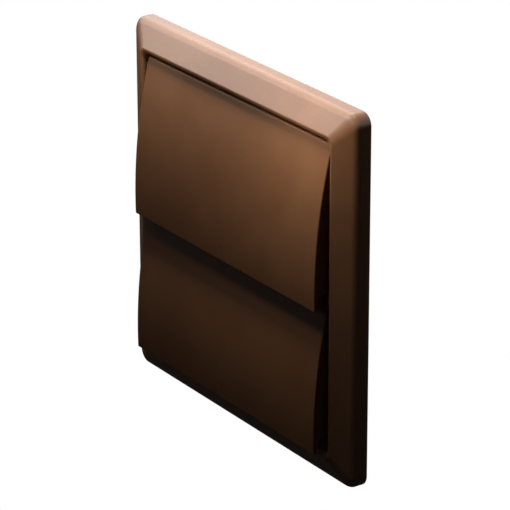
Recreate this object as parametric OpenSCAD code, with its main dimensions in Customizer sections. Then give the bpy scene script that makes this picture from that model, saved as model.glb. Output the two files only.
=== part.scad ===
// Square outside-wall outlet for a round duct, closed by two gravity flaps.
// The wall plane is y = 0, the face looks towards -Y and +Z is up.
// The origin is where the axis of the duct meets the wall plane.
// Solids are drawn lying on their back, depth along +Z, and then stood up.

/* [Fascia] */
// Outside size of the square fascia
fascia_size = 154; // [140:1:180]
// Height of the fascia's side, up to where the bevel's slope would meet it
side_h = 6.5; // [5.5:0.1:9]
// Width of the sloping bevel
bevel_w = 9; // [8:0.25:14]
// Rise of the bevel from the side to the rim
bevel_rise = 4.6; // [3.5:0.1:6.5]
// Radius of the rounded outer edge
edge_r = 3.7; // [2.6:0.1:4.2]
// Width of the flat rim round the window
rim_w = 3.25; // [2.75:0.25:6]
// Radius of the outer corners, seen from the front
corner_r = 5; // [4.5:0.25:8]
// Radius of the window's corners
window_r = 3; // [1:0.25:5]
// Wall of the fascia moulding
fascia_wall = 2.2; // [1.8:0.1:2.4]
// Thickness of the webs that stiffen the hollow bevel
web_t = 1.4; // [1:0.1:2]
// Distance of the inner webs from the middle of each side
web_inner_x = 17.5; // [12:0.5:24]
// Distance of the outer webs beyond the tongues and the fascia screws
web_beyond = 8.5; // [6.5:0.5:12]

/* [Wall plate] */
// Thickness of the wall plate
plate_t = 2.5; // [2.2:0.1:2.8]
// Gap between the wall plate and the fascia's skirt
plate_gap = 0.25; // [0.1:0.05:0.4]
// Hole spacing of the wall screws, the same across and up
wall_hole_pitch = 106; // [100:1:110]
// Diameter of a wall screw hole
wall_hole_d = 4.5; // [3.5:0.1:5]
// Width of a wall screw hole's countersink beyond the hole
sink_w = 1.1; // [0.6:0.1:1.3]
// Distance from the plate's middle to the outside of the wall seal
seal_half = 66; // [63:0.5:67]
// Width of the wall seal
seal_w = 4; // [3:0.25:5]
// Thickness of the wall seal and depth of its groove
seal_t = 1.2; // [0.8:0.1:1.4]
// Gap at each side of the seal in its groove
seal_gap = 0.15; // [0.05:0.05:0.3]

/* [Spigot] */
// Outside diameter of the spigot, for a duct of 100 mm inside
spigot_d = 98.6; // [90:0.1:99.4]
// Wall of the spigot
spigot_wall = 2; // [1.5:0.1:3]
// Length of the spigot behind the wall plane
spigot_len = 18; // [12:1:60]
// Bevel at the spigot's end that leads it into the duct
spigot_lead = 1; // [0.4:0.1:1.4]
// Step from the spigot out to its collar in the wall plate
collar_step = 0.8; // [0.5:0.1:1.5]
// Width of the spigot's flange beyond its collar
flange_w = 2.4; // [1.5:0.1:3]
// Thickness of the spigot's flange
flange_t = 1.2; // [0.8:0.1:1.4]
// Gap round the spigot's collar and flange in the wall plate
flange_gap = 0.1; // [0.05:0.05:0.2]

/* [Flaps] */
// Radius of the flap's curved face, seen from the side
flap_arc_r = 235; // [210:5:300]
// Distance that the proudest line of a flap stands from the wall plane
flap_front = 16.4; // [15.8:0.1:18]
// Height of that proudest line over the flap's bottom edge
flap_peak = 6.6; // [4:0.2:10]
// Thickness of the flap's face
flap_wall = 2; // [1.6:0.1:2.2]
// Gap between the window's top and the upper flap
flap_top_gap = 1.95; // [1.6:0.05:3]
// Gap between the lower flap and the window's bottom
flap_bottom_gap = 1.15; // [0.8:0.05:3]
// Overlap of the upper flap over the lower one
flap_overlap = 6.4; // [5.8:0.1:7]
// Gap between a flap's end and the window's side
flap_side_gap = 1; // [0.8:0.05:1.5]
// Thickness of a flap's end cheek
cheek_t = 2; // [1.5:0.1:3]
// Height of the cheek's lower back corner over the flap's bottom edge
cheek_toe = 8; // [7.6:0.2:12]
// Reach of the cheek behind the flap's face at that corner
cheek_reach = 7.4; // [6:0.1:8.4]
// Height over the bottom edge where the cheek's lower edge meets the face
cheek_foot = 5; // [4:0.2:7]
// Thickness of a rib behind a flap's face
rib_t = 1.2; // [0.8:0.1:2]
// Number of ribs behind a flap's face
rib_count = 4; // [2:1:5]
// Distance between neighbouring ribs
rib_pitch = 30; // [22:1:30]
// Step from the cheek's back edge forward to the rib's
rib_step = 4; // [3.6:0.1:5]
// Thickness of the flap's face at its bottom edge
lip_t = 1.2; // [0.8:0.1:1.5]
// Height over which the face thins down to its bottom edge
lip_h = 2.5; // [1:0.1:5]
// Bevel at the inner corner of the flap's top edge
tail_bevel = 1; // [0.8:0.1:1.2]

/* [Hinges] */
// Distance of the pivot behind the flap's face
pivot_inset = 2.7; // [2.5:0.05:2.9]
// Distance of the pivot under the flap's top edge
pivot_drop = 6.2; // [6:0.05:6.6]
// Diameter of a pivot pin
pin_d = 2.5; // [2:0.1:2.6]
// Radial clearance of a pin in its bearing slot
pin_clear = 0.05; // [0.02:0.01:0.1]
// Radial clearance of a pin in the flap that carries it
pin_seat_clear = 0.02; // [0:0.01:0.05]
// Length of a pin inside the flap's boss
pin_grip = 3.6; // [3:0.1:4.4]
// Distance from a pin's outer end to the back of its bearing wall
pin_end_gap = 0.15; // [0.05:0.05:0.4]
// Length of the boss that holds a pin
boss_len = 4.2; // [4:0.1:6]
// Radius of the boss that holds a pin
boss_r = 3.4; // [3:0.1:3.6]
// Gap between a flap's end and the bearing pad beside it
end_play = 0.3; // [0.2:0.05:0.5]
// Width of a bearing pad
bearing_w = 7; // [6:0.25:9]
// Distance of a bearing pad behind the front of the rim
bearing_cover = 2.2; // [1.4:0.1:2.4]
// Gap between a keeper and what is round it
keeper_gap = 0.15; // [0.05:0.05:0.25]
// Length of a keeper's foot beyond its stem, at each side
foot_len = 1.6; // [1:0.1:2.5]
// Thickness of a keeper's foot, sunk into the wall plate
foot_t = 0.6; // [0.4:0.1:0.7]

/* [Stops] */
// Distance from the cheek's lower back corner up to a buffer pad
stop_up = 18; // [10:0.5:26]
// Length of a buffer pad along the cheek
pad_len = 7; // [5:0.5:9]
// Thickness of a buffer pad
pad_t = 1.2; // [0.8:0.1:1.5]
// Width of a buffer pad
pad_w = 2.7; // [2.2:0.1:3]
// Gap between a resting flap and its buffer pads
pad_gap = 0.2; // [0.1:0.05:0.4]
// Width of the ledge beyond the buffer pad, at each side
ledge_rim = 0.25; // [0.1:0.05:0.6]

/* [Fascia fastening] */
// Distance of each tongue and each fascia screw from the middle
fixing_x = 44; // [40:1:52]
// Width of a tongue at the fascia's top
tongue_w = 12; // [8:0.5:14]
// Reach of a tongue behind the wall plate's edge
tongue_reach = 1.4; // [1:0.1:2]
// Thickness of a tongue
tongue_t = 1; // [0.8:0.1:1.2]
// Gap round a tongue
tongue_gap = 0.2; // [0.1:0.05:0.4]
// Distance of a fascia screw's axis from the wall plane
screw_depth = 2.75; // [2.5:0.05:3]
// Diameter of a fascia screw's shank
screw_d = 2.5; // [2:0.1:2.6]
// Length of a fascia screw under its head
screw_len = 7; // [5:0.5:8]
// Diameter of a fascia screw's head
screw_head_d = 4.2; // [3.6:0.1:4.3]
// Height of a fascia screw's head
screw_head_h = 1; // [0.8:0.1:1.1]
// Radial clearance of a fascia screw and its head in their holes
screw_clear = 0.1; // [0.05:0.05:0.2]
// Width of the lug that a fascia screw bites into
lug_w = 8; // [6:0.5:10]
// Reach of that lug in front of the wall plate
lug_h = 2.6; // [2:0.1:3]

/* [Hidden] */
$fn = 96;
// Facets of the long arc of a flap
ARC_FN = 720;
// Overshoot of a cut past the face that it opens
CUT = 1;
// Depth that an edge touching a round runs into it, so that the two meet at an angle
EDGE_SINK = 0.02;
BROWN = [0.36, 0.24, 0.17];
DARK_BROWN = [0.31, 0.2, 0.14];

fascia_half = fascia_size / 2;
fascia_h = side_h + bevel_rise;
slope = atan(bevel_rise / bevel_w);
window_half = fascia_half - bevel_w - rim_w;
skirt_half = fascia_half - fascia_wall;
bearing_out = window_half + fascia_wall;
plate_half = skirt_half - plate_gap;
plate_r = corner_r - fascia_wall - plate_gap;

flap_pitch = (2 * window_half - flap_top_gap - flap_bottom_gap - flap_overlap) / 2;
flap_h = flap_pitch + flap_overlap;
flap_half = window_half - flap_side_gap;
lower_z = flap_bottom_gap - window_half;
upper_z = lower_z + flap_pitch;

pivot_h = flap_h - pivot_drop;
pivot_depth = face_depth(pivot_h) - pivot_inset;
pin_r = pin_d / 2;
slot_r = pin_r + pin_clear;
bearing_in = flap_half + end_play;

toe_depth = face_depth(cheek_toe) - cheek_reach;
toe_to_pivot = norm([pivot_h - cheek_toe, pivot_depth - toe_depth]);
back_r = boss_r - EDGE_SINK;
back_angle = atan((pivot_depth - toe_depth) / (pivot_h - cheek_toe)) - asin(back_r / toe_to_pivot);
back_len = sqrt(pow(toe_to_pivot, 2) - pow(back_r, 2));

collar_r = spigot_d / 2 + collar_step;
screw_seat = fascia_half - screw_head_h - screw_clear;
hinge_sides = [-1, 1];

// Places of a row of equal steps about its middle, in steps
function row_places(count) = [(1 - count) / 2 : (count - 1) / 2];

// Depth of a flap's outer face at height h over its bottom edge
function face_depth(h) = flap_front - flap_arc_r + sqrt(pow(flap_arc_r, 2) - pow(h - flap_peak, 2));

// Stands a lying solid up: its plan becomes the front view, its height the depth
module stood() {
    rotate([90, 0, 0]) children();
}

// Extrudes a side outline, drawn as height and depth, to a width about the middle
module across(width) {
    rotate([90, 0, 90]) linear_extrude(width, center = true) children();
}

// The same, between two distances from the middle on one side
module across_between(side, from_x, to_x) {
    translate([side * (from_x + to_x) / 2, 0, 0]) across(to_x - from_x) children();
}

// A square of rounded corners, given by half its size
module soft_square(half, radius) {
    straight = half - radius;
    square([2 * half, 2 * straight], center = true);
    square([2 * straight, 2 * half], center = true);
    for (x = [-straight, straight], y = [-straight, straight])
        translate([x, y]) circle(radius);
}

// Section of the fascia's outer form from a floor up, set in by inset all round
module fascia_section(inset, floor) {
    half = fascia_half - inset;
    top = fascia_h - inset;
    round_r = edge_r - inset;
    shoulder = side_h - inset * (1 - sin(slope)) / cos(slope);
    crest = bevel_w + inset * (tan(slope / 2) - 1);
    round_h = shoulder + round_r * tan(slope) - round_r / cos(slope);
    end = half - round_r;
    meet = [end + (round_r - EDGE_SINK) * sin(slope), round_h + (round_r - EDGE_SINK) * cos(slope)];
    polygon([[-half, floor], [-half, round_h], [-end, round_h], [-meet[0], meet[1]], [crest - half, top],
             [half - crest, top], meet, [end, round_h], [half, round_h], [half, floor]]);
    for (x = [-end, end])
        translate([x, round_h]) circle(round_r);
}

// The fascia's outer form: two crossing sections make the mitres, and what lies
// outside the same section turned about each corner's centre is cut away
module fascia_form(inset, floor) {
    half = fascia_half - inset;
    turn_r = corner_r - inset;
    middle = half - turn_r;
    difference() {
        intersection() {
            rotate([90, 0, 90]) linear_extrude(2 * half, center = true) fascia_section(inset, floor);
            rotate([90, 0, 0]) linear_extrude(2 * half, center = true) fascia_section(inset, floor);
        }
        for (quarter = [0:3])
            rotate([0, 0, 90 * quarter]) translate([middle, middle, 0]) difference() {
                translate([0, 0, floor - CUT]) cube([turn_r + CUT, turn_r + CUT, fascia_h + 2 * CUT - floor]);
                rotate_extrude() intersection() {
                    translate([-middle, 0]) fascia_section(inset, floor - 2 * CUT);
                    translate([0, floor - 2 * CUT]) square([turn_r + CUT, fascia_h + 2 * CUT - floor]);
                }
            }
    }
}

// Slabs across each side of the fascia, clear of the lugs of the fascia screws
module web_slabs() {
    web_z = plate_t + fascia_h / 2;
    for (turn = [0, 90], side = hinge_sides, place = [web_inner_x, fixing_x + web_beyond])
        rotate([0, 0, turn]) translate([side * place, 0, web_z])
            cube([web_t, fascia_size, fascia_h], center = true);
}

// What is hollow in the fascia: the room for the wall plate inside the skirt and,
// in front of the plate, the channel behind the bevel, crossed by the webs
module fascia_hollow() {
    difference() {
        fascia_form(fascia_wall, -CUT);
        translate([0, 0, plate_t])
            linear_extrude(fascia_h) soft_square(bearing_out, window_r + fascia_wall);
        web_slabs();
    }
}

// Side outline of the slot that a pin turns in, open to the wall plate
module slot_outline(radius, from_depth, to_depth) {
    translate([pivot_h - radius, from_depth]) square([2 * radius, to_depth - from_depth]);
}

// Points of a cheek's back edge are given by their distance up from its toe
module at_back_edge(up) {
    translate([cheek_toe, toe_depth]) rotate(back_angle) translate([up, 0]) children();
}

// Side outline of the ledge that carries a buffer pad
module ledge_outline() {
    low = cheek_toe + (stop_up - ledge_rim) * cos(back_angle);
    high = low + (pad_len + 2 * ledge_rim) * cos(back_angle);
    difference() {
        translate([low, plate_t]) square([high - low, fascia_h - plate_t]);
        at_back_edge(stop_up - pad_len) translate([0, -pad_gap - pad_t]) square([3 * pad_len, fascia_h]);
    }
}

// What the window's side wall carries for one flap
module flap_bearings() {
    for (side = hinge_sides) {
        across_between(side, bearing_in, window_half + fascia_wall / 2)
            translate([pivot_h - bearing_w / 2, plate_t])
                square([bearing_w, fascia_h - bearing_cover - plate_t]);
        across_between(side, window_half - pad_w - 2 * ledge_rim, window_half + fascia_wall / 2)
            ledge_outline();
    }
}

module flap_bearing_slots() {
    for (side = hinge_sides)
        across_between(side, bearing_in - CUT, bearing_out + CUT) {
            slot_outline(slot_r, plate_t - CUT, pivot_depth);
            translate([pivot_h, pivot_depth]) circle(slot_r);
        }
}

// Hole of a fascia screw, with its head's recess, through the lower skirt
module fascia_screw_hole() {
    translate([0, -skirt_half + CUT, screw_depth]) rotate([90, 0, 0])
        cylinder(r = screw_d / 2 + screw_clear, h = fascia_wall + 2 * CUT);
    translate([0, -screw_seat, screw_depth]) rotate([90, 0, 0])
        cylinder(r = screw_head_d / 2 + screw_clear, h = fascia_half - screw_seat + CUT);
}

module fascia_frame() {
    color(BROWN) stood() {
        difference() {
            union() {
                difference() {
                    fascia_form(0, 0);
                    fascia_hollow();
                    translate([0, 0, -CUT]) linear_extrude(fascia_h + 2 * CUT)
                        soft_square(window_half, window_r);
                }
                for (z = [lower_z, upper_z])
                    translate([0, z, 0]) flap_bearings();
            }
            for (z = [lower_z, upper_z])
                translate([0, z, 0]) flap_bearing_slots();
            for (side = hinge_sides)
                translate([side * fixing_x, 0, 0]) fascia_screw_hole();
        }
        for (side = hinge_sides)
            translate([side * fixing_x - tongue_w / 2, plate_half - tongue_reach, tongue_gap])
                cube([tongue_w, skirt_half - plate_half + tongue_reach + fascia_wall / 2, tongue_t]);
    }
}

// Side outline of a keeper, widened all round by gap: its stem closes a bearing
// slot behind the pin, and its foot lies in a pocket of the wall plate
module keeper_outline(gap) {
    stem = slot_r - keeper_gap;
    translate([pivot_h - stem - foot_len - gap, plate_t - foot_t])
        square([2 * (stem + foot_len + gap), foot_t + gap]);
    translate([pivot_h - stem - gap, plate_t - foot_t / 2])
        square([2 * (stem + gap), pivot_depth - pin_r - keeper_gap + gap - plate_t + foot_t / 2]);
}

// A keeper stands in the thickness of the window's side wall
module pin_keeper(side, z) {
    color([0.86, 0.85, 0.8]) stood() translate([0, z, 0])
        across_between(side, window_half + keeper_gap, bearing_out - keeper_gap) keeper_outline(0);
}

// Lug in front of the plate's lower edge, shaped to the hollow bevel
module screw_lug() {
    reach = plate_half - bearing_out - plate_gap;
    intersection() {
        fascia_form(fascia_wall + plate_gap, 0);
        translate([0, -plate_half + reach / 2, (plate_t + lug_h) / 2])
            cube([lug_w, reach, plate_t + lug_h], center = true);
    }
}

// The spigot is a ring whose flange lies in a recess in the plate's front
module duct_spigot() {
    color(DARK_BROWN) stood() rotate_extrude() {
        outer = spigot_d / 2;
        inner = outer - spigot_wall;
        seat = plate_t - flange_t;
        polygon([[inner, plate_t], [collar_r + flange_w, plate_t], [collar_r + flange_w, seat],
                 [collar_r, seat], [collar_r, 0], [outer, 0], [outer, spigot_lead - spigot_len],
                 [outer - spigot_lead, -spigot_len], [inner, -spigot_len]]);
    }
}

module wall_screw_hole() {
    translate([0, 0, -CUT]) cylinder(r = wall_hole_d / 2, h = plate_t + 2 * CUT);
    translate([0, 0, plate_t - sink_w])
        cylinder(r1 = wall_hole_d / 2, r2 = wall_hole_d / 2 + sink_w, h = sink_w);
}

module wall_plate() {
    color(BROWN) stood() {
        difference() {
            union() {
                linear_extrude(plate_t) soft_square(plate_half, plate_r);
                for (side = hinge_sides)
                    translate([side * fixing_x, 0, 0]) screw_lug();
            }
            translate([0, 0, -CUT]) cylinder(r = collar_r + flange_gap, h = plate_t + 2 * CUT);
            translate([0, 0, plate_t - flange_t])
                cylinder(r = collar_r + flange_w + flange_gap, h = flange_t + CUT);
            for (side = hinge_sides, z = [lower_z, upper_z])
                translate([0, z, 0])
                    across_between(side, window_half, bearing_out) keeper_outline(keeper_gap);
            for (x = [-1, 1], y = [-1, 1])
                translate([x * wall_hole_pitch / 2, y * wall_hole_pitch / 2, 0]) wall_screw_hole();
            translate([0, 0, -CUT]) linear_extrude(seal_t + CUT) seal_outline(seal_gap);
            for (side = hinge_sides) {
                translate([side * fixing_x, -plate_half - CUT, screw_depth]) rotate([-90, 0, 0])
                    cylinder(r = screw_d / 2 + screw_clear, h = CUT + screw_len);
                translate([side * fixing_x - tongue_w / 2 - tongue_gap, plate_half - tongue_reach - tongue_gap, -CUT])
                    cube([tongue_w + 2 * tongue_gap, tongue_reach + tongue_gap + CUT,
                          CUT + tongue_t + 2 * tongue_gap]);
            }
        }
    }
}

// Outline of the wall seal, widened at each side by gap
module seal_outline(gap) {
    difference() {
        soft_square(seal_half + gap, window_r + seal_w + gap);
        soft_square(seal_half - seal_w - gap, window_r - gap);
    }
}

module wall_seal() {
    color([0.09, 0.09, 0.1]) stood() linear_extrude(seal_t) seal_outline(0);
}

// Round form of a flap's face, as a disc seen from the side
module flap_disc(inset) {
    translate([flap_peak, flap_front - flap_arc_r]) circle(flap_arc_r - inset, $fn = ARC_FN);
}

// Side outline of a flap's curved face
module face_outline() {
    thin = flap_wall - lip_t;
    lip_depth = face_depth(0) - flap_wall;
    tail_depth = face_depth(flap_h) - flap_wall;
    difference() {
        intersection() {
            difference() {
                flap_disc(0);
                flap_disc(flap_wall);
            }
            square([flap_h, flap_front]);
        }
        polygon([[-CUT, lip_depth - CUT], [lip_h, lip_depth - CUT], [lip_h, lip_depth],
                 [0, lip_depth + thin], [-CUT, lip_depth + thin]]);
        polygon([[flap_h + CUT, tail_depth - CUT], [flap_h - tail_bevel, tail_depth - CUT],
                 [flap_h - tail_bevel, tail_depth], [flap_h, tail_depth + tail_bevel],
                 [flap_h + CUT, tail_depth + tail_bevel]]);
    }
}

// Side outline of the wedge between a flap's face and a straight back edge,
// which lies a step in front of the cheek's own back edge
module wedge_outline(step) {
    intersection() {
        flap_disc(flap_wall / 2);
        polygon([[cheek_toe, toe_depth + step], [cheek_foot, face_depth(cheek_foot) - flap_wall],
                 [cheek_foot, flap_front], [back_point(step)[0], flap_front], back_point(step)]);
    }
}

// Point where the back edge, moved forward by step, ends in the boss
function back_point(step) = [cheek_toe + back_len * cos(back_angle),
                             toe_depth + step + back_len * sin(back_angle)];

module boss_outline() {
    intersection() {
        flap_disc(flap_wall / 2);
        translate([pivot_h, pivot_depth]) circle(boss_r);
    }
}

// A flap, drawn with its bottom edge at height 0
module flap() {
    difference() {
        union() {
            across(2 * flap_half) face_outline();
            for (side = hinge_sides) {
                across_between(side, flap_half - cheek_t, flap_half) wedge_outline(0);
                across_between(side, flap_half - boss_len, flap_half) boss_outline();
            }
            for (place = row_places(rib_count))
                translate([place * rib_pitch, 0, 0]) across(rib_t) wedge_outline(rib_step);
        }
        for (side = hinge_sides)
            across_between(side, flap_half - pin_grip - pin_seat_clear, flap_half + CUT)
                translate([pivot_h, pivot_depth]) circle(pin_r + pin_seat_clear);
    }
}

module upper_flap() {
    color(DARK_BROWN) stood() translate([0, upper_z, 0]) flap();
}

module lower_flap() {
    color(DARK_BROWN) stood() translate([0, lower_z, 0]) flap();
}

// A pin sits in the flap's boss and turns in the fascia's slot
module pivot_pin(side, z) {
    color([0.75, 0.76, 0.78]) stood() translate([0, z, 0])
        across_between(side, flap_half - pin_grip, bearing_out - pin_end_gap)
            translate([pivot_h, pivot_depth]) circle(pin_r);
}

// A buffer pad lies on its ledge, along the cheek's back edge
module buffer_pad(side, z) {
    color([0.08, 0.08, 0.08]) stood() translate([0, z, 0])
        across_between(side, window_half - pad_w - ledge_rim, window_half - ledge_rim)
            at_back_edge(stop_up) translate([0, -pad_gap - pad_t]) square([pad_len, pad_t]);
}

// A fascia screw goes up through the lower skirt into the wall plate's lug
module fascia_screw(side) {
    color([0.7, 0.7, 0.72]) stood() translate([side * fixing_x, -screw_seat, screw_depth]) {
        rotate([90, 0, 0]) cylinder(r = screw_head_d / 2, h = screw_head_h);
        translate([0, -screw_head_h / 2, 0]) rotate([-90, 0, 0])
            cylinder(r = screw_d / 2, h = screw_len + screw_head_h / 2);
    }
}

fascia_frame();
wall_plate();
duct_spigot();
wall_seal();
upper_flap();
lower_flap();
pivot_pin(-1, upper_z);  // pivot_pin_upper_left
pivot_pin(1, upper_z);  // pivot_pin_upper_right
pivot_pin(-1, lower_z);  // pivot_pin_lower_left
pivot_pin(1, lower_z);  // pivot_pin_lower_right
pin_keeper(-1, upper_z);  // pin_keeper_upper_left
pin_keeper(1, upper_z);  // pin_keeper_upper_right
pin_keeper(-1, lower_z);  // pin_keeper_lower_left
pin_keeper(1, lower_z);  // pin_keeper_lower_right
buffer_pad(-1, upper_z);  // buffer_pad_upper_left
buffer_pad(1, upper_z);  // buffer_pad_upper_right
buffer_pad(-1, lower_z);  // buffer_pad_lower_left
buffer_pad(1, lower_z);  // buffer_pad_lower_right
fascia_screw(-1);  // fascia_screw_left
fascia_screw(1);  // fascia_screw_right
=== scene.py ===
"""Looks of a square wall outlet for a round duct, closed by two curved gravity flaps.

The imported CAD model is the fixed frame: +X to the right seen from outside, +Y into the
wall, +Z up, with the origin where the duct's axis meets the wall plane. Lengths are in
metres. A name that ends in _mm holds millimetres, and so do Fascia's and Flap's sizes.
"""

import logging
import math
from dataclasses import dataclass
from enum import Enum

import bmesh
import bpy
from mathutils import Matrix, Vector


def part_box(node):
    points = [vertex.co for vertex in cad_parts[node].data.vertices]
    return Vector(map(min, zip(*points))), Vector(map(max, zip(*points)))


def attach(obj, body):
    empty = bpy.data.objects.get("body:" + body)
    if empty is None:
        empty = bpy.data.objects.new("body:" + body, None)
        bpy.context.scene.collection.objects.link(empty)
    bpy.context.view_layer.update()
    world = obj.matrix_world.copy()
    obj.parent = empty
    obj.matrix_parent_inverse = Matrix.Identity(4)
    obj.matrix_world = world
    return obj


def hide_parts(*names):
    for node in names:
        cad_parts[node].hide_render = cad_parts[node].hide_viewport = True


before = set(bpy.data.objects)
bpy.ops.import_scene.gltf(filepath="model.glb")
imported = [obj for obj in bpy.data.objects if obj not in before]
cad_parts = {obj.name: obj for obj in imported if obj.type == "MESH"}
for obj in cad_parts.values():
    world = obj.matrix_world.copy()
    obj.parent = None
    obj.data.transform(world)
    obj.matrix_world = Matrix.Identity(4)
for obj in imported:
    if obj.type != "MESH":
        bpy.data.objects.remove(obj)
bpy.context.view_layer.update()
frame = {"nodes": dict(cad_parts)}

LOG = logging.getLogger("duct_outlet")
MM = 0.001
TURN = 2 * math.pi
# Points closer than this are one point, and a radius below ON_AXIS is a point on the axis
WELD_MM = 0.002
ON_AXIS = 1e-9
WHITE = "#FFFFFF"
# Faces that bend by less are one flat face: of a cut mesh, and of a node before its bevel
CUT_FLAT_DEG = 0.2
NODE_FLAT_DEG = 0.6
# Corners that bend by more stay crisp on a cut piece, and are rounded on a CAD node
CRISP_DEG = 32.0
ROUNDED_DEG = 28.0


class Body(Enum):
    """Rigid bodies of the outlet, by their names in the frame."""

    OUTLET = "outlet_body"
    UPPER = "upper_shutter"
    LOWER = "lower_shutter"


class Slot(Enum):
    """Material slots of the record, by name."""

    FASCIA = "fascia_plastic"
    FLAP = "flap_plastic"
    PIN = "pin_steel"
    SCREW = "screw_steel"


class CutKind(Enum):
    """What a cut keeps: the common part, or what the form leaves."""

    COMMON = "INTERSECT"
    CARVED = "DIFFERENCE"


def linear(hex_colour: str) -> tuple[float, float, float, float]:
    """Turns an sRGB hex colour into a linear one for a shader's socket.

    Args:
        hex_colour: six hex digits after a #.

    Returns:
        Linear red, green, blue and an alpha of 1.
    """
    values = []
    # The curve's numbers are those of the sRGB standard
    for start in (1, 3, 5):
        share = int(hex_colour[start : start + 2], 16) / 255
        values.append(share / 12.92 if share <= 0.04045 else ((share + 0.055) / 1.055) ** 2.4)
    return (values[0], values[1], values[2], 1.0)


def per_mm(size_mm: float) -> float:
    """Returns the texture scale, per metre, of a pattern whose step is size_mm."""
    return 1 / (size_mm * MM)


def add_node(
    tree: bpy.types.NodeTree,
    kind: str,
    settings: dict[str | int, object] | None = None,
    links: dict[str | int, bpy.types.NodeSocket] | None = None,
) -> bpy.types.Node:
    """Adds a node with its settings and its incoming links.

    Args:
        tree: the node tree to add to.
        kind: the node's type name.
        settings: values by attribute name, or by socket name or number where the node has
            no such attribute; "stops" holds a colour ramp's positions and colours.
        links: sockets of other nodes, by the name or number of the socket they feed.

    Returns:
        The new node.
    """
    node = tree.nodes.new(kind)
    sockets = {}
    for name, value in (settings or {}).items():
        if name == "stops":
            elements = node.color_ramp.elements
            while len(elements) < len(value):
                elements.new(1.0)
            for element, (position, colour) in zip(elements, value):
                element.position, element.color = position, colour
        elif isinstance(name, str) and name in node.bl_rna.properties:
            setattr(node, name, value)
        else:
            sockets[name] = value
    for name, value in sockets.items():
        node.inputs[name].default_value = value
    for name, socket in (links or {}).items():
        tree.links.new(socket, node.inputs[name])
    return node


def new_material(name: str) -> tuple[bpy.types.Material, bpy.types.NodeTree, bpy.types.Node]:
    """Starts a node material that holds a Principled shader.

    Args:
        name: the material's name.

    Returns:
        The material, its node tree and its Principled node.
    """
    material = bpy.data.materials.new(name)
    material.use_nodes = True
    tree = material.node_tree
    return material, tree, tree.nodes["Principled BSDF"]


def seen_rays(tree: bpy.types.NodeTree) -> bpy.types.NodeSocket:
    """Tells rays by which something is seen, straight, in gloss or through glass, from light.

    Args:
        tree: the node tree to add to.

    Returns:
        A socket that is 1 for those rays and 0 for the others.
    """
    rays = add_node(tree, "ShaderNodeLightPath").outputs
    seen = rays["Is Camera Ray"]
    for kind in ("Is Glossy Ray", "Is Transmission Ray"):
        seen = add_node(
            tree, "ShaderNodeMath", {"operation": "MAXIMUM"}, {0: seen, 1: rays[kind]}
        ).outputs["Value"]
    return seen


@dataclass(frozen=True)
class MouldedAbs:
    """Brown ABS, injection moulded in a spark-eroded mould.

    The erosion leaves fine pits that spread the highlights softly, and the melt's flow
    leaves broad, barely visible changes of tone.
    """

    name: str
    base: str
    pale: str
    dark: str
    roughness: float = 0.32
    ior: float = 1.5
    specular: float = 0.35
    # Real spark-eroded grain is 0.1 to 0.2 mm wide; it is drawn coarser, so that it shows
    grain_mm: float = 1.0
    grain_depth_mm: float = 0.05
    grain_strength: float = 0.55
    # How much the grain lowers and raises the roughness
    gloss_change: tuple[float, float] = (-0.05, 0.07)
    flow_mm: float = 26.0
    flow_bend: float = 0.6
    # Where in the flow's noise the dark, the plain and the pale tone lie
    tones_at: tuple[float, float, float] = (0.3, 0.5, 0.72)
    # Where the melt entered, in millimetres: the colour is darker in a small spot round each of
    # these points
    gates_mm: tuple[tuple[float, float, float], ...] = ()
    gate_spot_mm: float = 1.5
    gate_core: float = 0.2
    gate_strength: float = 0.7
    gate_shade: str = "#4A2E1C"

    def build(self) -> bpy.types.Material:
        """Makes the material.

        Returns:
            The finished material.
        """
        material, tree, shader = new_material(self.name)
        place = add_node(tree, "ShaderNodeTexCoord").outputs["Object"]
        flow = add_node(
            tree,
            "ShaderNodeTexNoise",
            {"Scale": per_mm(self.flow_mm), "Detail": 3.0, "Distortion": self.flow_bend},
            {"Vector": place},
        ).outputs["Fac"]
        shades = (linear(self.dark), linear(self.base), linear(self.pale))
        colour = add_node(
            tree,
            "ShaderNodeValToRGB",
            {"stops": list(zip(self.tones_at, shades))},
            {"Fac": flow},
        ).outputs["Color"]
        for gate in self.gates_mm:
            away = add_node(
                tree,
                "ShaderNodeVectorMath",
                {"operation": "DISTANCE", 1: [value * MM for value in gate]},
                {0: place},
            )
            spot = add_node(
                tree,
                "ShaderNodeMapRange",
                {
                    "From Min": self.gate_core * self.gate_spot_mm * MM,
                    "From Max": self.gate_spot_mm * MM,
                    "To Min": self.gate_strength,
                    "To Max": 0.0,
                },
                {"Value": away.outputs["Value"]},
            )
            colour = add_node(
                tree,
                "ShaderNodeMix",
                {"data_type": "RGBA", 7: linear(self.gate_shade)},
                {0: spot.outputs["Result"], 6: colour},
            ).outputs[2]
        tree.links.new(colour, shader.inputs["Base Color"])
        grain = add_node(
            tree,
            "ShaderNodeTexNoise",
            {"Scale": per_mm(self.grain_mm), "Detail": 2.0, "Roughness": 0.6},
            {"Vector": place},
        ).outputs["Fac"]
        gloss = add_node(
            tree,
            "ShaderNodeMapRange",
            {
                "To Min": self.roughness + self.gloss_change[0],
                "To Max": self.roughness + self.gloss_change[1],
            },
            {"Value": grain},
        )
        tree.links.new(gloss.outputs["Result"], shader.inputs["Roughness"])
        bump = add_node(
            tree,
            "ShaderNodeBump",
            {"Strength": self.grain_strength, "Distance": self.grain_depth_mm * MM},
            {"Height": grain},
        )
        tree.links.new(bump.outputs["Normal"], shader.inputs["Normal"])
        shader.inputs["IOR"].default_value = self.ior
        shader.inputs["Specular IOR Level"].default_value = self.specular
        return material


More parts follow.
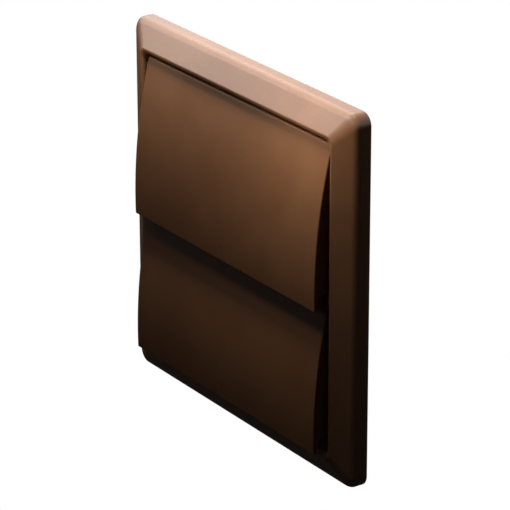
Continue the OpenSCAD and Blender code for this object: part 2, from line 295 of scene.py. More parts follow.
@dataclass(frozen=True)
class CellFoam:
    """Black closed-cell polyethylene foam, cut from a strip.

    Its skin is dull and shows the cut cells as small round dents, with painted shade on their
    floors.
    """

    name: str = "closed_cell_foam_cut"
    base: str = "#1B1B1D"
    cell_wall: str = "#2B2B2D"
    cell_mm: float = 0.55
    cell_depth_mm: float = 0.12
    cell_softness: float = 0.4
    cell_strength: float = 0.8
    # Where the cells' floors, darkened by painted shade, and their paler walls lie in the pattern
    dent_shade_at: tuple[float, float] = (0.15, 0.6)
    roughness: float = 0.9

    def build(self) -> bpy.types.Material:
        """Makes the material.

        Returns:
            The finished material.
        """
        material, tree, shader = new_material(self.name)
        place = add_node(tree, "ShaderNodeTexCoord").outputs["Object"]
        cells = add_node(
            tree,
            "ShaderNodeTexVoronoi",
            {
                "feature": "SMOOTH_F1",
                "Scale": per_mm(self.cell_mm),
                "Smoothness": self.cell_softness,
            },
            {"Vector": place},
        ).outputs["Distance"]
        # Painted shade: the dents' floors take the darker colour, the walls between them the
        # paler one
        shades = (linear(self.base), linear(self.cell_wall))
        colour = add_node(
            tree,
            "ShaderNodeValToRGB",
            {"stops": list(zip(self.dent_shade_at, shades))},
            {"Fac": cells},
        )
        tree.links.new(colour.outputs["Color"], shader.inputs["Base Color"])
        bump = add_node(
            tree,
            "ShaderNodeBump",
            {"Strength": self.cell_strength, "Distance": self.cell_depth_mm * MM},
            {"Height": cells},
        )
        tree.links.new(bump.outputs["Normal"], shader.inputs["Normal"])
        shader.inputs["Roughness"].default_value = self.roughness
        return material


@dataclass(frozen=True)
class MouldedRubber:
    """Black EPDM rubber, moulded: dull, with a faint bloom of paler dust."""

    name: str = "epdm_rubber_moulded"
    base: str = "#1A1918"
    bloom: str = "#2E2C2A"
    bloom_mm: float = 1.6
    # Where plain rubber ends and full bloom starts in the pattern
    bloom_at: tuple[float, float] = (0.4, 0.75)
    grain_mm: float = 0.3
    grain_depth_mm: float = 0.03
    grain_strength: float = 0.4
    roughness: float = 0.75

    def build(self) -> bpy.types.Material:
        """Makes the material.

        Returns:
            The finished material.
        """
        material, tree, shader = new_material(self.name)
        place = add_node(tree, "ShaderNodeTexCoord").outputs["Object"]
        patches = add_node(
            tree,
            "ShaderNodeTexNoise",
            {"Scale": per_mm(self.bloom_mm), "Detail": 3.0},
            {"Vector": place},
        ).outputs["Fac"]
        shades = (linear(self.base), linear(self.bloom))
        colour = add_node(
            tree,
            "ShaderNodeValToRGB",
            {"stops": list(zip(self.bloom_at, shades))},
            {"Fac": patches},
        )
        tree.links.new(colour.outputs["Color"], shader.inputs["Base Color"])
        grain = add_node(
            tree, "ShaderNodeTexNoise", {"Scale": per_mm(self.grain_mm)}, {"Vector": place}
        ).outputs["Fac"]
        bump = add_node(
            tree,
            "ShaderNodeBump",
            {"Strength": self.grain_strength, "Distance": self.grain_depth_mm * MM},
            {"Height": grain},
        )
        tree.links.new(bump.outputs["Normal"], shader.inputs["Normal"])
        shader.inputs["Roughness"].default_value = self.roughness
        return material


@dataclass(frozen=True)
class MouldedAcetal:
    """Natural acetal, injection moulded: milky off-white and smooth, slightly waxy."""

    name: str = "acetal_natural_moulded"
    base: str = "#E4E0D4"
    shade: str = "#D9D3C4"
    flow_mm: float = 3.0
    # Where the shaded and the plain tone lie in the flow's noise
    tones_at: tuple[float, float] = (0.35, 0.65)
    roughness: float = 0.35
    ior: float = 1.48

    def build(self) -> bpy.types.Material:
        """Makes the material.

        Returns:
            The finished material.
        """
        material, tree, shader = new_material(self.name)
        place = add_node(tree, "ShaderNodeTexCoord").outputs["Object"]
        flow = add_node(
            tree, "ShaderNodeTexNoise", {"Scale": per_mm(self.flow_mm)}, {"Vector": place}
        ).outputs["Fac"]
        shades = (linear(self.shade), linear(self.base))
        colour = add_node(
            tree,
            "ShaderNodeValToRGB",
            {"stops": list(zip(self.tones_at, shades))},
            {"Fac": flow},
        )
        tree.links.new(colour.outputs["Color"], shader.inputs["Base Color"])
        shader.inputs["Roughness"].default_value = self.roughness
        shader.inputs["IOR"].default_value = self.ior
        return material


@dataclass(frozen=True)
class SteelSurface:
    """Stainless steel with fine marks of its making along or round one axis.

    Drawn wire has lines along it, and a turned head has rings, so the highlights are
    broken across the marks.
    """

    name: str
    base: str
    mark: str
    # How much the marks' noise is squeezed along X, Y and Z: a small number gives long marks
    squeeze: tuple[float, float, float]
    # Real marks are a few hundredths of a millimetre wide; they are drawn coarser, so that
    # they show
    mark_mm: float = 0.12
    mark_depth_mm: float = 0.01
    mark_strength: float = 0.3
    # Where a mark ends and plain steel starts in the pattern
    marks_at: tuple[float, float] = (0.35, 0.6)
    roughness: float = 0.24
    dulling: float = 0.14

    def build(self) -> bpy.types.Material:
        """Makes the material.

        Returns:
            The finished material.
        """
        material, tree, shader = new_material(self.name)
        place = add_node(tree, "ShaderNodeTexCoord").outputs["Object"]
        squeezed = add_node(
            tree, "ShaderNodeMapping", {"Scale": self.squeeze}, {"Vector": place}
        ).outputs["Vector"]
        marks = add_node(
            tree,
            "ShaderNodeTexNoise",
            {"Scale": per_mm(self.mark_mm), "Detail": 2.0},
            {"Vector": squeezed},
        ).outputs["Fac"]
        shades = (linear(self.mark), linear(self.base))
        colour = add_node(
            tree,
            "ShaderNodeValToRGB",
            {"stops": list(zip(self.marks_at, shades))},
            {"Fac": marks},
        )
        tree.links.new(colour.outputs["Color"], shader.inputs["Base Color"])
        gloss = add_node(
            tree,
            "ShaderNodeMapRange",
            {"To Min": self.roughness, "To Max": self.roughness + self.dulling},
            {"Value": marks},
        )
        tree.links.new(gloss.outputs["Result"], shader.inputs["Roughness"])
        bump = add_node(
            tree,
            "ShaderNodeBump",
            {"Strength": self.mark_strength, "Distance": self.mark_depth_mm * MM},
            {"Height": marks},
        )
        tree.links.new(bump.outputs["Normal"], shader.inputs["Normal"])
        shader.inputs["Metallic"].default_value = 1.0
        return material


# The fascia's skin is the glossier one: its bevels and rounded edge hold a pale, soft sheen
FASCIA_ABS = MouldedAbs(
    "abs_brown_fascia_moulded", "#644229", "#68462C", "#603E26", roughness=0.4, specular=0.7
)
# The flaps are duller: they show hardly any sheen, and the mark of their gate
FLAP_ABS = MouldedAbs(
    "abs_brown_flap_moulded",
    "#644229",
    "#68462C",
    "#603E26",
    roughness=0.4,
    specular=0.14,
    gates_mm=((0.0, -16.4, 2.0), (0.0, -16.4, -58.0)),
)
# The parts behind are a little darker and smoother
PLATE_ABS = MouldedAbs("abs_brown_plate_moulded", "#583B29", "#5D3F2D", "#523625", roughness=0.36)
# Fine bright lines along the pin, and faint rings round the screw's head
DRAWN_WIRE = SteelSurface("stainless_wire_drawn", "#C4C3C0", "#A5A4A1", (0.04, 1.0, 1.0))
TURNED_STEEL = SteelSurface("stainless_screw_headed", "#BDBCBA", "#9C9B98", (1.0, 1.0, 0.15))


def mesh_data(name: str, build: bmesh.types.BMesh) -> bpy.types.Mesh:
    """Turns a bmesh into mesh data.

    Args:
        name: the mesh's name.
        build: the mesh; it is freed.

    Returns:
        The new mesh data.
    """
    mesh = bpy.data.meshes.new(name)
    build.to_mesh(mesh)
    build.free()
    return mesh


def place_object(name: str, data: bpy.types.ID) -> bpy.types.Object:
    """Adds an object to the scene.

    Args:
        name: the object's name.
        data: its mesh, lamp or camera.

    Returns:
        The new object.
    """
    made = bpy.data.objects.new(name, data)
    bpy.context.scene.collection.objects.link(made)
    return made


def outward(azimuth_deg: float, rise_deg: float) -> Vector:
    """Gives the direction from the outlet to a place round it.

    Args:
        azimuth_deg: turn from straight in front towards the right.
        rise_deg: angle above the level.

    Returns:
        The direction, one metre long.
    """
    azimuth, rise = math.radians(azimuth_deg), math.radians(rise_deg)
    return Vector(
        (
            math.sin(azimuth) * math.cos(rise),
            -math.cos(azimuth) * math.cos(rise),
            math.sin(rise),
        )
    )


def mesh_piece(name: str, build: bmesh.types.BMesh, body: Body) -> bpy.types.Object:
    """Turns a finished bmesh into a piece that rides on a body.

    Args:
        name: the piece's name.
        build: the mesh, in the row frame; it is freed.
        body: the body that carries the piece.

    Returns:
        The new object.
    """
    bmesh.ops.recalc_face_normals(build, faces=build.faces)
    mesh = mesh_data(name, build)
    mesh.shade_smooth()
    piece = place_object(name, mesh)
    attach(piece, body.value)
    return piece


def lathe(profile: list[tuple[float, float]], steps: int) -> bmesh.types.BMesh:
    """Turns a profile about the Z axis.

    Args:
        profile: radius and height of each point, from the axis back to the axis.
        steps: number of steps round the axis.

    Returns:
        The closed surface.
    """
    build = bmesh.new()
    rings: list[list[bmesh.types.BMVert]] = []
    turns = [(math.cos(TURN * i / steps), math.sin(TURN * i / steps)) for i in range(steps)]
    for radius, height in profile:
        if radius < ON_AXIS:
            rings.append([build.verts.new((0, 0, height))])
        else:
            rings.append([build.verts.new((radius * x, radius * y, height)) for x, y in turns])
    for low, high in zip(rings, rings[1:]):
        for i in range(steps):
            j = (i + 1) % steps
            if len(low) == 1:
                build.faces.new((low[0], high[i], high[j]))
            elif len(high) == 1:
                build.faces.new((low[i], low[j], high[0]))
            else:
                build.faces.new((low[i], low[j], high[j], high[i]))
    return build


def soften_edges(piece: bpy.types.Object, radius_mm: float) -> None:
    """Rounds the sharp edges of a carried-over CAD node by modifiers.

    Args:
        piece: the node.
        radius_mm: radius of the rounding.
    """
    weld = piece.modifiers.new("weld", "WELD")
    weld.merge_threshold = WELD_MM * MM
    flat = piece.modifiers.new("join_flat_faces", "DECIMATE")
    flat.decimate_type = "DISSOLVE"
    flat.angle_limit = math.radians(NODE_FLAT_DEG)
    edge = piece.modifiers.new("edge_radius", "BEVEL")
    edge.width = radius_mm * MM
    edge.segments = 2
    edge.limit_method = "ANGLE"
    edge.angle_limit = math.radians(ROUNDED_DEG)
    edge.miter_outer = "MITER_ARC"
    edge.use_clamp_overlap = False
    edge.harden_normals = True
    normals = piece.modifiers.new("even_normals", "WEIGHTED_NORMAL")
    normals.keep_sharp = True


def dress(piece: bpy.types.Object, material: bpy.types.Material) -> None:
    """Gives a piece one material in place of what it had.

    Args:
        piece: the piece or node.
        material: the material.
    """
    piece.data.materials.clear()
    piece.data.materials.append(material)


def arc(
    centre: tuple[float, float], radius: float, start: float, end: float, steps: int
) -> list[tuple[float, float]]:
    """Lists the points of an arc.

    Args:
        centre: the arc's centre.
        radius: its radius.
        start: first angle in degrees.
        end: last angle in degrees.
        steps: number of steps.

    Returns:
        Points, both ends included.
    """
    angles = [math.radians(start + (end - start) * i / steps) for i in range(steps + 1)]
    return [(centre[0] + radius * math.cos(a), centre[1] + radius * math.sin(a)) for a in angles]


def closed_sweep(loops: list[list[tuple[float, float, float]]], ring: bool) -> bmesh.types.BMesh:
    """Joins equal loops of points by faces.

    Args:
        loops: the loops, in millimetres in the row frame.
        ring: whether the last loop joins the first one; otherwise both ends are capped.

    Returns:
        The closed surface, in metres.
    """
    build = bmesh.new()
    rows = [[build.verts.new(Vector(point) * MM) for point in loop] for loop in loops]
    pairs = list(zip(rows, rows[1:]))
    if ring:
        pairs.append((rows[-1], rows[0]))
    else:
        build.faces.new(rows[0])
        build.faces.new(rows[-1])
    for low, high in pairs:
        for i in range(len(low)):
            j = (i + 1) % len(low)
            build.faces.new((low[i], low[j], high[j], high[i]))
    bmesh.ops.recalc_face_normals(build, faces=build.faces)
    return build


def cut_mesh(
    base: bpy.types.Mesh, form: bmesh.types.BMesh, operation: CutKind
) -> bmesh.types.BMesh:
    """Cuts a closed mesh with a closed form.

    Args:
        base: the mesh to cut; it is used up.
        form: the form, in the same coordinates; it is freed.
        operation: what is kept.

    Returns:
        The cut surface with its flat faces joined.
    """
    cutter = place_object("cutting_form", mesh_data("cutting_form", form))
    rough = place_object("rough_piece", base)
    weld = rough.modifiers.new("weld", "WELD")
    weld.merge_threshold = WELD_MM * MM
    cut = rough.modifiers.new("cut", "BOOLEAN")
    cut.operation = operation.value
    cut.solver = "EXACT"
    cut.object = cutter
    graph = bpy.context.evaluated_depsgraph_get()
    mesh = bpy.data.meshes.new_from_object(rough.evaluated_get(graph))
    for made in (cutter, rough):
        bpy.data.objects.remove(made)
    build = bmesh.new()
    build.from_mesh(mesh)
    bpy.data.meshes.remove(mesh)
    flat = math.radians(CUT_FLAT_DEG)
    bmesh.ops.dissolve_limit(build, angle_limit=flat, verts=build.verts, edges=build.edges)
    return build


def crisp_piece(name: str, build: bmesh.types.BMesh, body: Body) -> bpy.types.Object:
    """Turns a cut bmesh into a piece whose real corners stay crisp.

    Args:
        name: the piece's name.
        build: the mesh, in the row frame; it is freed.
        body: the body that carries the piece.

    Returns:
        The new object.
    """
    piece = mesh_piece(name, build, body)
    piece.data.set_sharp_from_angle(angle=math.radians(CRISP_DEG))
    even = piece.modifiers.new("even_normals", "WEIGHTED_NORMAL")
    even.keep_sharp = True
    return piece


def cut_to_form(
    node: bpy.types.Object, form: bmesh.types.BMesh, name: str, body: Body
) -> bpy.types.Object:
    """Makes a piece from what a CAD node and a softer outer form have in common.

    The form lies a hair inside the node's own skin, so the piece's skin is the form's, and
    all that is inside the node stays as it is.

    Args:
        node: the CAD node; it is left as it is and is replaced by the piece.
        form: the closed outer form; it is freed.
        name: the piece's name.
        body: the body that carries the piece.

    Returns:
        The new object.
    """
    base = node.data.copy()
    base.attributes.remove(base.attributes["custom_normal"])
    piece = crisp_piece(name, cut_mesh(base, form, CutKind.COMMON), body)
    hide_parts(node.name)
    return piece


@dataclass
class Fascia:
    """Square bevelled moulding, whose edges and mitres run softly into each other.

    Sizes are in millimetres. An inset is measured from the outer side towards the window,
    and a height from the wall plane towards the viewer.
    """

    node: str = "fascia_frame"
    side_h: float = 6.5
    slope_deg: float = 23.8
    edge_r: float = 3.7
    face_w: float = 12.25
    corner_r: float = 5.0
    window_r: float = 3.0
    # The bevel rolls over into the window by this radius, without a flat rim
    lip_r: float = 1.6
    back_r: float = 0.4
    # The form lies this far inside the CAD skin and reaches past what it must not cut
    trim: float = 0.05
    reveal_clear: float = 0.02
    reveal_floor: float = 9.3
    past_bearings: float = 26.0
    behind: float = -1.0
    # Steps of the roundings at the back, at the outer edge, into the window and in plan
    back_steps: int = 4
    edge_steps: int = 14
    lip_steps: int = 16
    corner_steps: int = 16

    def bevel_height(self, inset: float) -> float:
        """Returns how far the bevel's plane stands from the wall at an inset."""
        return self.side_h + inset * math.tan(math.radians(self.slope_deg))

    def section(self) -> list[tuple[float, float]]:
        """Lists the points of the moulding's softened section.

        Returns:
            Inset and height of each point, round the closed section.
        """
        slope = math.radians(self.slope_deg)
        back = self.trim + self.back_r
        points = [(back, self.behind)]
        points += arc((back, self.back_r), self.back_r, -90, -180, self.back_steps)
        edge_h = self.bevel_height(self.edge_r) - self.edge_r / math.cos(slope)
        round_r = self.edge_r - self.trim
        turned = 90 + self.slope_deg
        points += arc((self.edge_r, edge_h), round_r, 180, turned, self.edge_steps)
        reveal = self.face_w + self.reveal_clear
        lip = reveal - self.lip_r
        lip_h = self.bevel_height(lip) - (self.lip_r + self.trim) / math.cos(slope)
        points += arc((lip, lip_h), self.lip_r, turned, 0, self.lip_steps)
        points += [(reveal, self.reveal_floor), (self.past_bearings, self.reveal_floor)]
        return points + [(self.past_bearings, self.behind)]

    def loop(self, half: float, inset: float, height: float) -> list[tuple[float, float, float]]:
        """Lists the points of a rounded square at one point of the section.

        The corner's radius runs evenly from the outer corner's to the window's, so the
        mitres are soft.

        Args:
            half: half the fascia's outer size.
            inset: the point's inset.
            height: the point's height.

        Returns:
            Points in the row frame.
        """
        share = min(max(inset / self.face_w, 0.0), 1.0)
        radius = self.corner_r + share * (self.window_r - self.corner_r)
        middle = half - inset - radius
        points = []
        for quarter, (right, up) in enumerate(((1, 1), (-1, 1), (-1, -1), (1, -1))):
            start = 90 * quarter
            place = (right * middle, up * middle)
            for x, z in arc(place, radius, start, start + 90, self.corner_steps):
                points.append((x, -height, z))
        return points

    def build(self, nodes: dict[str, bpy.types.Object], material: bpy.types.Material) -> None:
        """Makes the softened fascia in place of its CAD node.

        Args:
            nodes: the frame's nodes by name.
            material: the fascia's finish.
        """
        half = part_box(self.node)[1].x / MM
        loops = [self.loop(half, inset, height) for inset, height in self.section()]
        form = closed_sweep(loops, ring=True)
        piece = cut_to_form(
            nodes[self.node], form, "fascia_moulding", Body.OUTLET
        )
        dress(piece, material)
        LOG.info("%s: %d faces", piece.name, len(piece.data.polygons))


@dataclass
class Flap:
    """Curved flap with a thin straight bottom edge and softly rounded ends.

    Sizes are in millimetres. Heights are measured up from the bottom edge.
    """

    node: str
    body: Body
    arc_r: float = 235.0
    front: float = 16.4
    peak_h: float = 6.6
    # Radii that soften the face's ends, its bottom edge and its top edge
    end_r: float = 0.5
    bottom_r: float = 0.35
    top_r: float = 0.5
    # The form lies this far inside the CAD skin and reaches this deep behind the flap
    trim: float = 0.03
    behind: float = 2.0
    # Where the two roundings meet the face, in degrees from straight up
    bottom_deg: float = 100.0
    top_deg: float = 75.0
    face_steps: int = 56
    edge_steps: int = 5
    end_steps: int = 6

    def depth(self, height: float, inset: float) -> float:
        """Returns how far the face, set in by inset, stands from the wall at a height."""
        radius = self.arc_r - inset
        return self.front - self.arc_r + math.sqrt(radius**2 - (height - self.peak_h) ** 2)

    def outline(self, tall: float, inset: float) -> list[tuple[float, float]]:
        """Lists the points of the face's side outline.

        Args:
            tall: height of the flap.
            inset: how far the face is set in.

        Returns:
            Height and depth of each point, round the closed outline.
        """
        low, high = self.trim, tall - self.trim
        edge = self.depth(low + self.bottom_r, inset) - self.bottom_r
        points = [(low, self.behind), (low, edge)]
        first, last = low + self.bottom_r, high - self.top_r
        points += arc((first, edge), self.bottom_r, 180, self.bottom_deg, self.edge_steps)[1:]
        for i in range(self.face_steps + 1):
            height = first + (last - first) * i / self.face_steps
            points.append((height, self.depth(height, inset)))
        edge = self.depth(last, inset) - self.top_r
        points += arc((last, edge), self.top_r, self.top_deg, 0, self.edge_steps)
        return points + [(high, self.behind)]

    def build(self, nodes: dict[str, bpy.types.Object], material: bpy.types.Material) -> None:
        """Makes the softened flap in place of its CAD node.

        Args:
            nodes: the frame's nodes by name.
            material: the flap's finish.
        """
        low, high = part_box(self.node)
        half, bottom, tall = high.x / MM, low.z / MM, (high.z - low.z) / MM
        stations = [
            (half - self.trim - self.end_r + x, self.trim + self.end_r - y)
            for y, x in arc((0, 0), self.end_r, 0, 90, self.end_steps)
        ]
        stations = [(-x, inset) for x, inset in reversed(stations)] + stations
        loops = [
            [(x, -depth, bottom + height) for height, depth in self.outline(tall, inset)]
            for x, inset in stations
        ]
        form = closed_sweep(loops, ring=False)
        name = self.node + "_moulding"
        piece = cut_to_form(nodes[self.node], form, name, self.body)
        dress(piece, material)
        LOG.info("%s: %d faces", piece.name, len(piece.data.polygons))


@dataclass
class SoftenedPart:
    """A piece that keeps its CAD form and gets softened edges."""

    node: str
    edge_mm: float

    def build(self, nodes: dict[str, bpy.types.Object], material: bpy.types.Material) -> None:
        """Softens the node's edges and gives it its finish.

        Args:
            nodes: the frame's nodes by name.
            material: the piece's finish.
        """
        piece = nodes[self.node]
        soften_edges(piece, self.edge_mm)
        dress(piece, material)
        LOG.info("%s: edges of %.2f mm, %s", self.node, self.edge_mm, material.name)


@dataclass
class WallPlate(SoftenedPart):
    """Moulded plate that is screwed to the wall and carries all the rest."""

    node: str = "wall_plate"
    edge_mm: float = 0.2


@dataclass
class DuctSpigot(SoftenedPart):
    """Moulded ring that goes into the round duct."""

    node: str = "duct_spigot"
    edge_mm: float = 0.25


@dataclass
class WallSeal(SoftenedPart):
    """Foam strip in its groove behind the wall plate."""

    node: str = "wall_seal"
    edge_mm: float = 0.2


@dataclass
class PinKeeper(SoftenedPart):
    """Small moulding that closes a bearing slot behind its hinge pin."""

    edge_mm: float = 0.12


@dataclass
class BufferPad(SoftenedPart):
    """Soft pad that a resting flap's cheek lies against."""

    edge_mm: float = 0.35


@dataclass
class HingePin:
    """Drawn wire pin with chamfered ends that carries one end of a flap."""

    node: str
    body: Body
    chamfer_mm: float = 0.3
    # The chamfer is bowed: at this share of its width it has fallen by this share
    bow_in: float = 0.4
    bow_down: float = 0.25
    steps: int = 40

    def build(self, material: bpy.types.Material) -> None:
        """Makes the pin in place of its CAD node.

        Args:
            material: the pin's finish.
        """
        low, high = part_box(self.node)
        radius = (high.z - low.z) / 2
        length = high.x - low.x
        chamfer = self.chamfer_mm * MM
        bow_r, bow_h = radius - self.bow_in * chamfer, self.bow_down * chamfer
        profile = [(0, 0), (radius - chamfer, 0), (bow_r, bow_h), (radius, chamfer)]
        profile += [(radius, length - chamfer), (bow_r, length - bow_h)]
        profile += [(radius - chamfer, length), (0, length)]
        build = lathe(profile, self.steps)
        middle = (low + high) / 2
        place = Matrix.Translation((low.x, middle.y, middle.z)) @ Matrix.Rotation(
            math.pi / 2, 4, "Y"
        )
        bmesh.ops.transform(build, matrix=place, verts=build.verts)
        piece = mesh_piece(self.node + "_wire", build, self.body)
        dress(piece, material)
        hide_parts(self.node)
        LOG.info("%s: wire of %.1f mm", piece.name, 2 * radius / MM)


@dataclass
class FasciaScrew:
    """Cheese-head screw with a cross recess, driven up through the lower skirt."""

    node: str
    head_h_mm: float = 1.0
    pitch_mm: float = 0.9
    recess_mm: float = 0.6
    arm_mm: float = 0.3
    # Half an arm's width, as a share of arm_mm, and how fast it widens with the arm's reach
    arm_half: float = 0.5
    arm_flare: float = 0.25
    steps: int = 32
    # The shank's radius as a share of the head's, and the thread's root as one of the shank's
    shank: float = 0.6
    root: float = 0.8
    # The rounding of the head as a share of its height, and how far it bulges
    rounding: float = 0.18
    bulge: float = 0.3
    # Shares of the pitch: free shank above and below the thread, the root's end, the crest
    run_in: float = 0.4
    run_out: float = 1.6
    root_end: float = 0.35
    crest: tuple[float, float] = (0.62, 0.7)
    # The blunt point, as shares of the shank's radius and of the pitch
    point: tuple[float, float] = (0.25, 0.1)
    # The recess's reach at its mouth, as a share of the head's radius
    mouth: float = 0.6

    def profile(self, head_r: float, length: float) -> list[tuple[float, float]]:
        """Lists the screw's outline from the head's face to the point.

        Args:
            head_r: radius of the head.
            length: length of the whole screw.

        Returns:
            Radius and height of each point.
        """
        shank_r = self.shank * head_r
        root = self.root * shank_r
        head, pitch = self.head_h_mm * MM, self.pitch_mm * MM
        edge = self.rounding * head
        bulge = self.bulge * edge
        points = [(0, 0), (head_r - edge, 0), (head_r - bulge, bulge), (head_r, edge)]
        points += [(head_r, head - bulge), (head_r - bulge, head), (shank_r, head)]
        height = head + self.run_in * pitch
        while height < length - self.run_out * pitch:
            points += [(root, height), (root, height + self.root_end * pitch)]
            points += [(shank_r, height + share * pitch) for share in self.crest]
            height += pitch
        tip_r, tip_h = self.point[0] * shank_r, self.point[1] * pitch
        return points + [(root, length - pitch), (tip_r, length - tip_h), (0, length)]

    def cross(self, reach_mm: float, place: Vector) -> list[tuple[float, float, float]]:
        """Lists the corners of the recess at one depth, whose arms get narrower inwards.

        Args:
            reach_mm: how far its arms reach from the axis.
            place: the middle of the cross, in millimetres.

        Returns:
            Points in the row frame.
        """
        half = self.arm_mm * (self.arm_half + self.arm_flare * reach_mm / self.recess_mm)
        points = []
        for quarter in range(4):
            turn = Matrix.Rotation(quarter * math.pi / 2, 3, "Z")
            for x, y in ((reach_mm, -half), (reach_mm, half), (half, half)):
                points.append(tuple(place + turn @ Vector((x, y, 0))))
        return points

    def build(self, material: bpy.types.Material) -> None:
        """Makes the screw in place of its CAD node.

        Args:
            material: the screw's finish.
        """
        low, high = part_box(self.node)
        head_r = (high.x - low.x) / 2
        middle = Vector(((low.x + high.x) / 2, (low.y + high.y) / 2, low.z))
        turned = lathe(self.profile(head_r, high.z - low.z), self.steps)
        bmesh.ops.transform(turned, matrix=Matrix.Translation(middle), verts=turned.verts)
        bmesh.ops.recalc_face_normals(turned, faces=turned.faces)
        # Share of the mouth's reach, and depth in millimetres, from just outside to the floor
        levels = ((1.1, -0.1), (1.0, 0.02), (0.5, self.recess_mm))
        mouth = self.mouth * head_r / MM
        loops = [
            self.cross(share * mouth, middle / MM + Vector((0, 0, depth)))
            for share, depth in levels
        ]
        recess = closed_sweep(loops, ring=False)
        build = cut_mesh(mesh_data("screw_blank", turned), recess, CutKind.CARVED)
        piece = crisp_piece(self.node + "_driven", build, Body.OUTLET)
        dress(piece, material)
        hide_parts(self.node)
        LOG.info("%s: head of %.1f mm", piece.name, 2 * head_r / MM)


class Use(Enum):
    """Whether a lamp lights surfaces, and whether it shows in their gloss."""

    LIGHT = (True, False)
    SHEEN = (False, True)
    BOTH = (True, True)


@dataclass
class Softbox:
    """A square area lamp that points at one spot."""

    name: str
    place: tuple[float, float, float]
    target: tuple[float, float, float]
    size: float
    watts: float
    use: Use = Use.BOTH
    spread_deg: float = 180.0

    def build(self) -> None:
        """Adds the lamp to the scene."""
        data = bpy.data.lights.new(self.name, "AREA")
        data.shape = "SQUARE"
        data.size = self.size
        data.energy = self.watts
        data.spread = math.radians(self.spread_deg)
        lamp = place_object(self.name, data)
        lamp.location = self.place
        aim = Vector(self.target) - Vector(self.place)
        lamp.rotation_mode = "QUATERNION"
        lamp.rotation_quaternion = aim.to_track_quat("-Z", "Y")
        lamp.visible_camera = False
        lamp.visible_diffuse, lamp.visible_glossy = self.use.value
        LOG.info("lamp %s: %.3f W", self.name, self.watts)


@dataclass
class DarkCard:
    """A dark card beside the set that keeps the white surroundings out of the gloss.

    It shows only in gloss: the camera doesn't see it, and it casts no shadow.
    """

    name: str
    azimuth_deg: float
    height_deg: float
    wide: float
    tall: float
    distance: float = 0.45
    flock: str = "#0A0A0A"

    def build(self) -> None:
        """Adds the card, facing the outlet."""
        away = outward(self.azimuth_deg, self.height_deg)
        build = bmesh.new()
        corners = ((-1, -1), (1, -1), (1, 1), (-1, 1))
        build.faces.new(
            [build.verts.new((x * self.wide / 2, y * self.tall / 2, 0)) for x, y in corners]
        )
        card = place_object(self.name, mesh_data(self.name, build))
        card.location = away * self.distance
        card.rotation_mode = "QUATERNION"
        card.rotation_quaternion = away.to_track_quat("Z", "Y")
        card.visible_camera = card.visible_shadow = card.visible_diffuse = False
        # Flock takes up nearly all light, so it leaves no mark of its own in the gloss
        material, _, shader = new_material("black_flock_card")
        shader.inputs["Base Color"].default_value = linear(self.flock)
        shader.inputs["Roughness"].default_value = 1.0
        card.data.materials.append(material)


@dataclass
class PaleFloor:
    """Round floor of pale matt paper below the outlet, which fades out towards its rim."""

    height: float = -0.75
    radius: float = 0.8
    fade_from: float = 0.35
    steps: int = 96
    paper: str = "#E8E7E4"
    # What the floor adds to its lit shade where it is seen, so that it looks pale
    glow: float = 0.72

    def material(self) -> bpy.types.Material:
        """Makes matt paper that is seen pale and is clear from below and towards the rim.

        Returns:
            The finished material.
        """
        material, tree, shader = new_material("matt_paper_floor")
        shader.inputs["Base Color"].default_value = linear(self.paper)
        shader.inputs["Roughness"].default_value = 1.0
        shader.inputs["Specular IOR Level"].default_value = 0.0
        shader.inputs["Emission Color"].default_value = linear(WHITE)
        glow = add_node(
            tree, "ShaderNodeMath", {"operation": "MULTIPLY", 1: self.glow}, {0: seen_rays(tree)}
        )
        tree.links.new(glow.outputs["Value"], shader.inputs["Emission Strength"])
        place = add_node(tree, "ShaderNodeTexCoord").outputs["Object"]
        away = add_node(tree, "ShaderNodeVectorMath", {"operation": "LENGTH"}, {0: place})
        fade = add_node(
            tree,
            "ShaderNodeMapRange",
            {
                "interpolation_type": "SMOOTHSTEP",
                "From Min": self.fade_from,
                "From Max": self.radius,
            },
            {"Value": away.outputs["Value"]},
        )
        below = add_node(tree, "ShaderNodeNewGeometry").outputs["Backfacing"]
        clear = add_node(
            tree,
            "ShaderNodeMath",
            {"operation": "MAXIMUM"},
            {0: fade.outputs["Result"], 1: below},
        )
        nothing = add_node(tree, "ShaderNodeBsdfTransparent")
        mix = add_node(
            tree,
            "ShaderNodeMixShader",
            links={0: clear.outputs["Value"], 1: shader.outputs[0], 2: nothing.outputs[0]},
        )
        tree.links.new(mix.outputs[0], tree.nodes["Material Output"].inputs["Surface"])
        return material

    def build(self) -> None:
        """Adds the floor."""
        build = bmesh.new()
        turns = [TURN * i / self.steps for i in range(self.steps)]
        rim = [(self.radius * math.cos(a), self.radius * math.sin(a), 0) for a in turns]
        build.faces.new([build.verts.new(point) for point in rim])
        floor = place_object("pale_floor", mesh_data("pale_floor", build))
        floor.data.materials.append(self.material())
        floor.location = (0, 0, self.height)
        LOG.info("floor: %.1f m wide", 2 * self.radius)


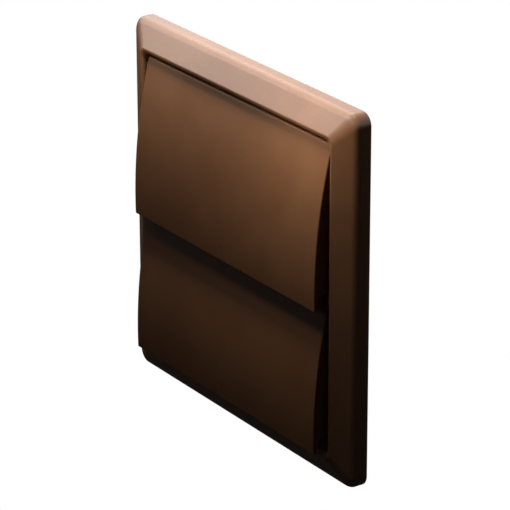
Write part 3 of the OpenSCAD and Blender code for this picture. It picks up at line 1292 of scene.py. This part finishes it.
UPPER_EDGE = (0, -0.01, 0.075)
LAMPS = (
    # Small lamps close by: the outlet gets darker from top to bottom, without hot spots
    Softbox("top_right", (0.034, -0.032, 0.21), (0.034, -0.01, 0.05), 0.05, 0.32, Use.LIGHT),
    Softbox("top_left", (-0.034, -0.035, 0.21), (-0.034, -0.01, 0.05), 0.05, 0.355, Use.LIGHT),
    Softbox("near_right", (0.056, -0.05, 0.09), (0.056, -0.01, 0.03), 0.02, 0.041, Use.LIGHT),
    Softbox("near_left", (-0.066, -0.05, 0.088), (-0.034, -0.01, 0.035), 0.03, 0.018, Use.LIGHT),
    # A narrow beam from the left, high up
    Softbox("left_high", (-0.317, 0.056, 0.453), UPPER_EDGE, 0.15, 0.046, Use.LIGHT, 20.0),
    # A pale sheen on the upper bevel, and a soft highlight along the upper edge
    Softbox("sheen_left", (-0.5, -0.36, 0.3), UPPER_EDGE, 0.42, 2.25, Use.SHEEN),
    Softbox("sheen_top", (-0.5, 0.1, 0.47), UPPER_EDGE, 0.5, 2.5, Use.SHEEN),
    # Light from behind: the upper edge stands out, and the back can be seen
    Softbox("left_behind", (-0.692, 0.466, 0.407), (0, -0.005, 0.077), 0.4, 0.2),
    Softbox("behind", (-0.5, 0.9, 0.35), (0.0, 0.02, 0.0), 0.6, 4.0),
)
CARDS = (
    DarkCard("card_left", -50.0, -40.0, 2.4, 1.4),
    DarkCard("card_right", 65.0, -40.0, 1.2, 1.4),
    DarkCard("card_right_behind", 124.0, -40.0, 1.3, 1.0),
)


@dataclass
class Studio:
    """Plain pale floor, white surroundings, soft lamps and dark cards."""

    ambient: float = 0.005

    def world(self) -> None:
        """Makes the surroundings white to the eye and in gloss, and dim as light."""
        world = bpy.data.worlds.new("white_studio")
        world.use_nodes = True
        bpy.context.scene.world = world
        tree = world.node_tree
        tree.nodes.clear()
        dim = add_node(
            tree, "ShaderNodeBackground", {"Color": linear(WHITE), "Strength": self.ambient}
        )
        white = add_node(
            tree, "ShaderNodeBackground", {"Color": linear(WHITE), "Strength": 1.0}
        )
        mix = add_node(
            tree,
            "ShaderNodeMixShader",
            links={0: seen_rays(tree), 1: dim.outputs[0], 2: white.outputs[0]},
        )
        add_node(tree, "ShaderNodeOutputWorld", links={"Surface": mix.outputs[0]})

    def build(self) -> None:
        """Makes the surroundings, the floor, the lamps and the cards."""
        self.world()
        PaleFloor().build()
        for thing in LAMPS + CARDS:
            thing.build()
        LOG.info("studio: ambient %.3f", self.ambient)


@dataclass
class PhotoCamera:
    """Camera that was fitted to the fascia's outline, mitres and rim in the photograph."""

    place: tuple[float, float, float] = (0.926572, -0.631950, 0.450281)
    azimuth_deg: float = 55.708
    pitch_deg: float = 22.087
    roll_deg: float = 0.125
    lens_mm: float = 213.99
    sensor_mm: float = 36.0
    clip: tuple[float, float] = (0.05, 50.0)

    def build(self) -> None:
        """Adds the camera and makes it the scene's."""
        azimuth = math.radians(self.azimuth_deg)
        back = outward(self.azimuth_deg, self.pitch_deg)
        right = Vector((math.cos(azimuth), math.sin(azimuth), 0.0))
        up = back.cross(right)
        turn = Matrix((right, up, back)).transposed().to_4x4()
        roll = Matrix.Rotation(-math.radians(self.roll_deg), 4, "Z")
        data = bpy.data.cameras.new("photo_camera")
        data.lens = self.lens_mm
        data.sensor_width = self.sensor_mm
        data.clip_start, data.clip_end = self.clip
        camera = place_object("photo_camera", data)
        camera.matrix_world = Matrix.Translation(self.place) @ turn @ roll
        bpy.context.scene.camera = camera
        LOG.info("camera: azimuth %.1f, pitch %.1f", self.azimuth_deg, self.pitch_deg)


def main() -> None:
    """Builds the camera, the studio and every piece of the outlet in order."""
    logging.basicConfig(level=logging.INFO, format="%(name)s %(message)s")
    nodes = frame["nodes"]
    PhotoCamera().build()
    Studio().build()
    Fascia().build(nodes, FASCIA_ABS.build())
    WallPlate().build(nodes, PLATE_ABS.build())
    DuctSpigot().build(nodes, PLATE_ABS.build())
    flap_abs = FLAP_ABS.build()
    Flap("upper_flap", Body.UPPER).build(nodes, flap_abs)
    Flap("lower_flap", Body.LOWER).build(nodes, flap_abs)
    WallSeal().build(nodes, CellFoam().build())
    wire, rubber, steel = DRAWN_WIRE.build(), MouldedRubber().build(), TURNED_STEEL.build()
    for side in ("left", "right"):
        HingePin(f"pivot_pin_upper_{side}", Body.UPPER).build(wire)
        HingePin(f"pivot_pin_lower_{side}", Body.LOWER).build(wire)
        for level in ("upper", "lower"):
            PinKeeper(f"pin_keeper_{level}_{side}").build(nodes, MouldedAcetal().build())
            BufferPad(f"buffer_pad_{level}_{side}").build(nodes, rubber)
        FasciaScrew(f"fascia_screw_{side}").build(steel)
    bpy.context.scene.view_settings.view_transform = "Standard"


if __name__ == "__main__":
    main()
